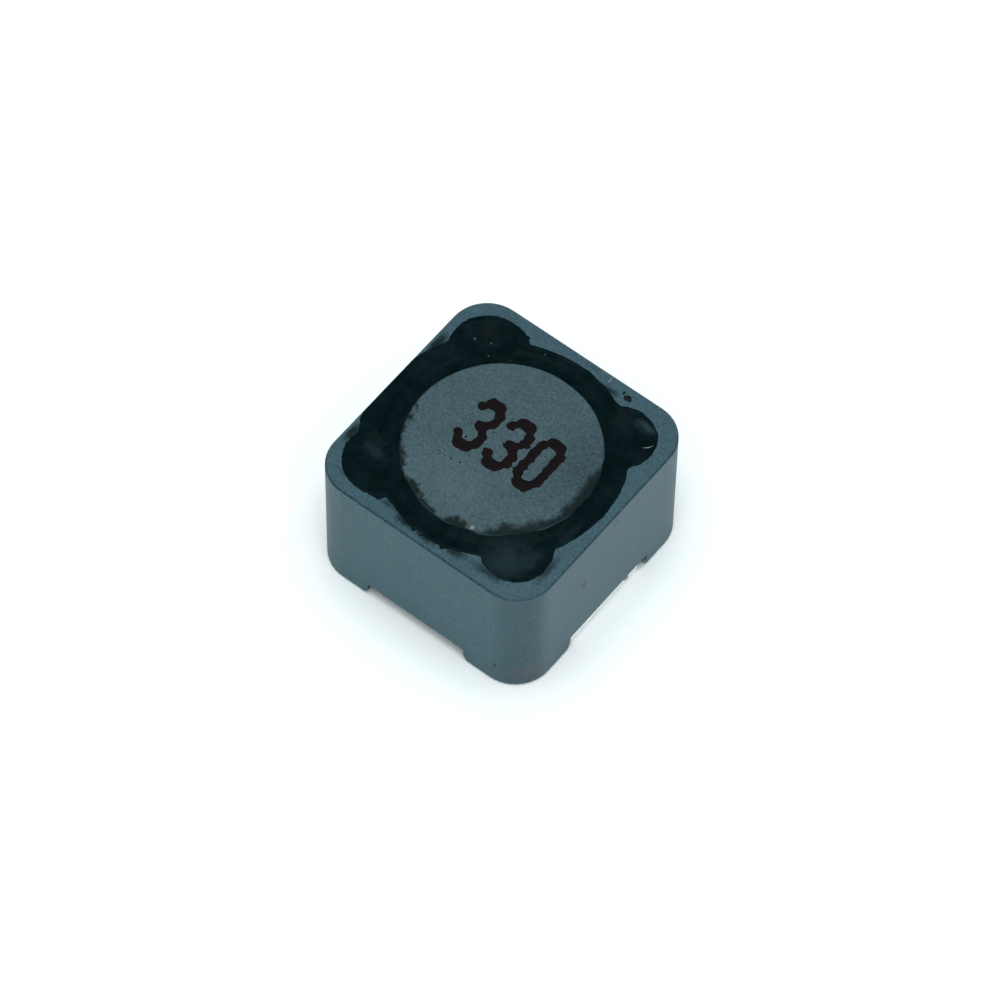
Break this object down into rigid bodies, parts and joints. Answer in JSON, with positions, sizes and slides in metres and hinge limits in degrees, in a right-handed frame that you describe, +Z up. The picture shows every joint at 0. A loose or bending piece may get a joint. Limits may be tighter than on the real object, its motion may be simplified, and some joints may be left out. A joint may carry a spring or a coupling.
{
  "type": "shielded smd inductor",
  "caption": "Square shielded power inductor for surface mounting: a wound ferrite drum potted into a ferrite ring, with folded solder terminals underneath.",
  "frame": {"origin": "on the solder plane, under the middle of the square body", "axes": "+Z up, away from the board; the two terminals lie toward +X and -X, and Y runs along their pads"},
  "size_m": [0.012, 0.0122, 0.0072],
  "materials": {
    "shield_ring": "sintered nickel-zinc ferrite, matt, fine grained",
    "drum_core": "sintered nickel-zinc ferrite, matt, fine grained, inked value code on top",
    "winding": "copper wire in clear brown enamel",
    "terminal": "tinned copper strip",
    "terminal_bond": "cured black epoxy adhesive",
    "solder_joint": "tin solder with a little flux",
    "potting": "cured black epoxy, satin to glossy, uneven"
  },
  "bodies": {
    "root": {"shield_ring": "shield_ring", "drum_core": "drum_core", "winding": "winding", "terminal_left": "terminal", "terminal_right": "terminal", "terminal_bond_left": "terminal_bond", "terminal_bond_right": "terminal_bond", "solder_joint_left": "solder_joint", "solder_joint_right": "solder_joint", "potting": "potting"}
  },
  "joints": []
}
